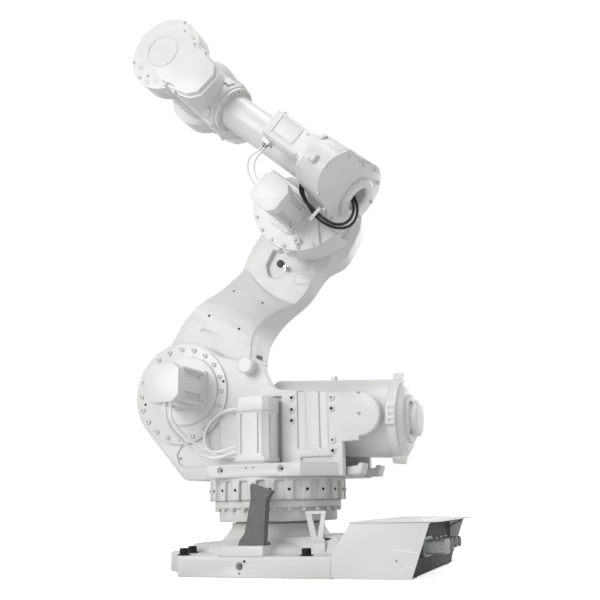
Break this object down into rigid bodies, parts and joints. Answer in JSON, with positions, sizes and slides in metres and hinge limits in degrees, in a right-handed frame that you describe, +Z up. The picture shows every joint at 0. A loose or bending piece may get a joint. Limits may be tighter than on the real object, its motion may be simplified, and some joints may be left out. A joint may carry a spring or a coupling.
{
  "type": "industrial robot arm",
  "caption": "Floor-standing jointed robot arm: foot with connection box, swivelling frame, balancing cylinder, curved lower arm, upper arm with cable hole, forked wrist and tool flange.",
  "frame": {"origin": "Centre of the mounting face on axis 1, at floor level.", "axes": "+X forward over the foot's nose, +Y to the robot's left, +Z up."},
  "size_m": [1.5507, 0.844, 2.7884],
  "materials": {
    "paint": "satin light grey-white enamel",
    "sheet_paint": "satin light grey-white enamel on sheet steel",
    "dark_panel": "matte dark grey paint",
    "zinc": "bare machined steel and zinc",
    "cast_grey": "rough bare cast iron",
    "black_plastic": "matte black plastic",
    "black_cable": "satin black cable jacket",
    "white_cable": "satin white cable jacket",
    "white_plastic": "matte white plastic"
  },
  "bodies": {
    "base": {"base_casting": "paint", "box_side_left": "sheet_paint", "box_side_right": "sheet_paint", "box_floor": "sheet_paint", "box_lid": "sheet_paint", "connector_panel": "dark_panel", "connector_hood": "zinc", "round_connectors": "zinc", "side_bracket": "cast_grey", "strap_bracket": "zinc"},
    "swivel": {"swivel_flange": "paint", "ribbed_ring": "paint", "swivel_frame": "paint", "shoulder_gear": "paint", "motor_1": "paint", "motor_2": "paint", "bumper_peg": "paint", "rear_support": "paint", "shoulder_cable_1": "white_cable", "shoulder_cable_2": "white_cable", "shoulder_loop": "white_cable"},
    "balancer": {"cylinder_shell": "paint", "cylinder_flange": "paint", "cylinder_cap": "paint"},
    "rod": {"piston_rod": "zinc"},
    "lower_arm": {"lower_arm": "paint", "balance_pin": "zinc", "pocket_plug": "black_plastic"},
    "upper_arm": {"arm_housing": "paint", "gear_cover": "paint", "motor_3": "paint", "motor_4": "paint", "rear_cover": "paint", "cable_collar": "paint", "arm_cable_1": "black_cable", "arm_cable_2": "black_cable", "cable_tag": "white_plastic", "white_hose_1": "white_cable", "white_hose_2": "white_cable"},
    "forearm": {"forearm_tube": "paint", "wrist_housing": "paint", "wrist_cover_left": "paint", "wrist_cover_right": "paint"},
    "tilt": {"tilt_housing": "paint"},
    "disc": {"turning_disc": "zinc"}
  },
  "joints": [
    {"name": "axis_1", "type": "hinge", "parent": "base", "child": "swivel", "pos_m": [0, 0, 0.2075], "axis": [0, 0, 1], "range_deg": [-180, 180]},
    {"name": "axis_2", "type": "hinge", "parent": "swivel", "child": "lower_arm", "pos_m": [0.41, 0, 0.78], "axis": [0, 1, 0], "range_deg": [-27.4, 117.6]},
    {"name": "axis_3", "type": "hinge", "parent": "lower_arm", "child": "upper_arm", "pos_m": [-0.16918, 0, 1.68564], "axis": [0, -1, 0], "range_deg": [-70.4, 169.6]},
    {"name": "axis_4", "type": "hinge", "parent": "upper_arm", "child": "forearm", "pos_m": [0.01083, 0, 2.07911], "axis": [0.7314, 0, 0.682], "range_deg": [-300, 300]},
    {"name": "axis_5", "type": "hinge", "parent": "forearm", "child": "tilt", "pos_m": [0.4906, 0, 2.5265], "axis": [0, 1, 0], "range_deg": [-100, 100]},
    {"name": "axis_6", "type": "hinge", "parent": "tilt", "child": "disc", "pos_m": [0.66174, 0, 2.68609], "axis": [0.7314, 0, 0.682], "range_deg": [-300, 300]},
    {"name": "trunnion", "type": "hinge", "parent": "swivel", "child": "balancer", "pos_m": [-0.433, -0.06, 0.642], "axis": [0, 1, 0], "range_deg": [-21.3, 5.1]},
    {"name": "rod_pin", "type": "hinge", "parent": "lower_arm", "child": "rod", "pos_m": [0.25836, -0.06, 0.68302], "axis": [0, 1, 0], "range_deg": [-139, 32.5]}
  ],
  "couplings": [
    {"joint": "trunnion", "follows": "axis_2", "ratio": -0.18},
    {"joint": "rod_pin", "follows": "axis_2", "ratio": -1.18}
  ]
}
